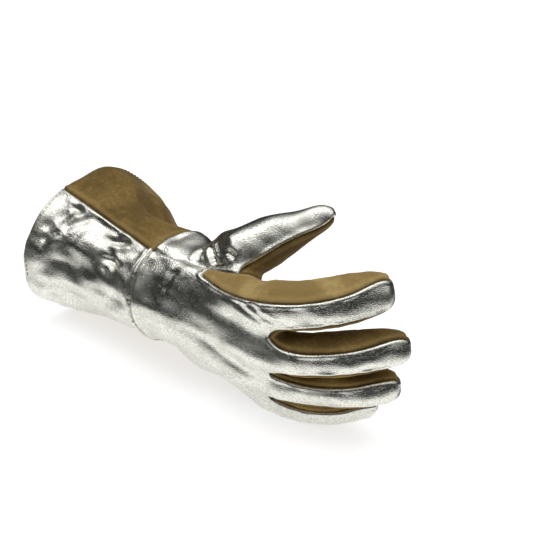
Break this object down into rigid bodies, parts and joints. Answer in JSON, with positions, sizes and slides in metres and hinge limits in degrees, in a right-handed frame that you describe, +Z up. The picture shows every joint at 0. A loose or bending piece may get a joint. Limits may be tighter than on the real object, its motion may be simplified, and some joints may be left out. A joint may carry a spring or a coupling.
{
  "type": "heat resistant leather glove",
  "caption": "Right-hand gauntlet work glove in leather: metallised heat-reflecting back, suede palm and finger sides, flared cuff, fingers curled as if holding something.",
  "frame": {"origin": "centre of the bounding box, on the surface that the glove lies on", "axes": "+X along the hand towards the fingertips, -Y the back of the hand, +Y the palm, +Z up, the thumb side"},
  "size_m": [0.2935, 0.1352, 0.1488],
  "materials": {
    "metallised_leather": "metallised leather, satin silver with a fine grain",
    "suede": "split cowhide suede, olive brown, matt and mottled"
  },
  "bodies": {
    "root": {"hand_back": "metallised_leather", "thumb_back": "metallised_leather", "cuff_back": "metallised_leather", "wrist_welt_back": "metallised_leather", "hand_palm": "suede", "thumb_front": "suede", "index_side": "suede", "index_middle_gusset": "suede", "middle_ring_gusset": "suede", "ring_little_gusset": "suede", "cuff_palm": "suede", "wrist_welt_palm": "suede"}
  },
  "joints": []
}
